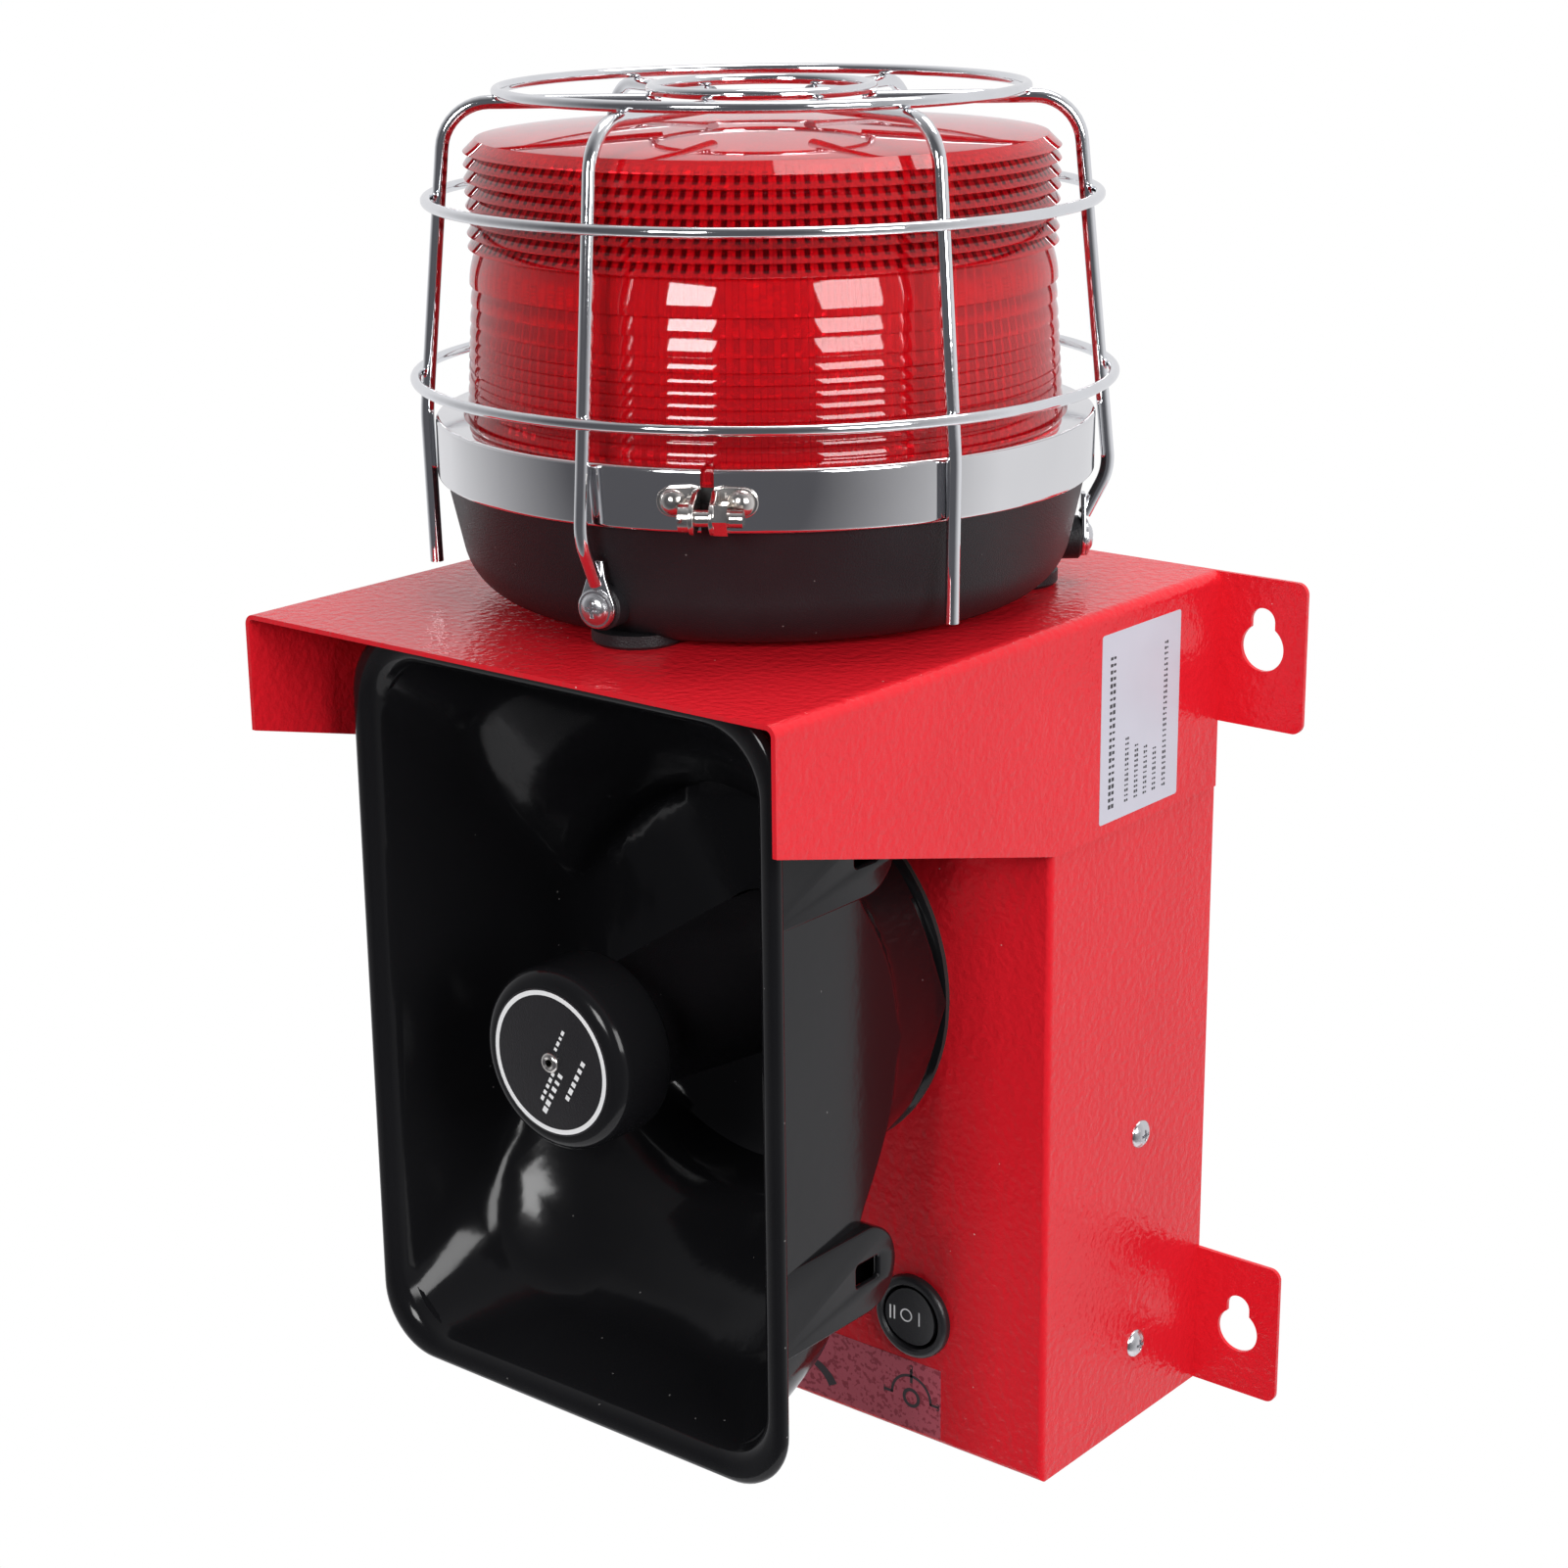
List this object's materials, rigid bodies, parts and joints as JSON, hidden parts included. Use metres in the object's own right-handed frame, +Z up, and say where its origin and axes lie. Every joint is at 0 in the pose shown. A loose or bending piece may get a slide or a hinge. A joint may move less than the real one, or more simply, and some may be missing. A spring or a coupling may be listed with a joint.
{
  "type": "alarm siren",
  "caption": "Wall-mounted alarm siren: folded steel box and hood, square re-entrant horn, rocker switch, and a caged red flashing beacon on top.",
  "frame": {"origin": "on the wall plane behind the box, at half the box's height and centred between the ears", "axes": "+Z up, +Y into the wall, +X to the right of someone who faces the horn"},
  "size_m": [0.22, 0.1892, 0.3759],
  "materials": {
    "red_paint": "semi-gloss powder coat, fine orange peel",
    "zinc_steel": "zinc plated sheet",
    "black_horn": "glossy moulded black",
    "black_satin": "satin, fine texture",
    "black_rubber": "matte",
    "cage_chrome": "bright chrome wire",
    "band_steel": "mirror polished stainless",
    "nickel": "bright nickel plate",
    "pan_steel": "plain steel",
    "red_lens": "clear red moulded lens",
    "label_white": "printed paper label",
    "clear_film": "clear printed film on the red paint",
    "switch_black": "satin nylon",
    "brass_tin": "tinned brass",
    "ferrite": "sintered, dull",
    "soft_iron": "zinc plated iron",
    "driver_grey": "die cast, as cast",
    "copper_wire": "enamelled copper",
    "diaphragm_film": "amber resin film",
    "board_green": "solder resist",
    "capacitor_sleeve": "dark sleeve",
    "aluminium": "extruded, plain",
    "terminal_green": "moulded",
    "lamp_board": "white solder resist",
    "lamp_yellow": "phosphor under clear resin",
    "gland_black": "satin nylon"
  },
  "bodies": {
    "enclosure": {"hood": "red_paint", "box_body": "red_paint", "back_plate": "red_paint", "inner_tray": "zinc_steel", "side_screws": "pan_steel", "spec_label": "label_white", "control_sticker": "clear_film", "gland_body": "gland_black", "gland_cap": "gland_black", "gland_seal": "black_rubber", "gland_locknut": "gland_black", "horn_bell": "black_horn", "horn_gasket": "black_rubber", "tone_tube": "black_horn", "horn_cap": "black_horn", "cap_disc": "black_satin", "cap_rivet": "nickel", "horn_bolts": "zinc_steel", "driver_cover": "driver_grey", "driver_top_plate": "soft_iron", "driver_magnet": "ferrite", "driver_yoke": "soft_iron", "diaphragm": "diaphragm_film", "voice_coil": "copper_wire", "switch_housing": "switch_black", "switch_terminals": "brass_tin", "volume_body": "zinc_steel", "tone_body": "zinc_steel", "control_nuts": "nickel", "amp_board": "board_green", "board_standoffs": "brass_tin", "board_screws": "zinc_steel", "transformer_core": "ferrite", "transformer_coil": "copper_wire", "capacitors": "capacitor_sleeve", "heat_sink": "aluminium", "terminal_block": "terminal_green", "beacon_base": "black_satin", "base_gasket": "black_rubber", "base_bolts": "zinc_steel", "lens": "red_lens", "lens_seal": "black_rubber", "clamp_band": "band_steel", "band_bracket_left": "nickel", "band_bracket_right": "nickel", "band_rivets": "nickel", "clamp_screw": "nickel", "clamp_nut": "nickel", "cage_top_ring": "cage_chrome", "cage_eye_ring": "cage_chrome", "cage_mid_ring": "cage_chrome", "cage_low_ring": "cage_chrome", "cage_ribs": "cage_chrome", "cage_screws": "nickel", "led_column": "aluminium", "led_boards": "lamp_board", "leds": "lamp_yellow"},
    "rocker": {"switch_rocker": "switch_black"},
    "volume_spindle": {"volume_shaft": "brass_tin"},
    "tone_spindle": {"tone_shaft": "brass_tin"}
  },
  "joints": [
    {"name": "rocker_tilt", "type": "hinge", "parent": "enclosure", "child": "rocker", "pos_m": [0.042, -0.073, -0.08], "axis": [0, 0, 1], "range_deg": [-10, 10]},
    {"name": "volume_turn", "type": "hinge", "parent": "enclosure", "child": "volume_spindle", "pos_m": [0.004, -0.058, -0.116], "axis": [0, 0, -1], "range_deg": [-135, 135]},
    {"name": "tone_turn", "type": "hinge", "parent": "enclosure", "child": "tone_spindle", "pos_m": [0.04, -0.058, -0.116], "axis": [0, 0, -1], "range_deg": [-90, 90]}
  ]
}
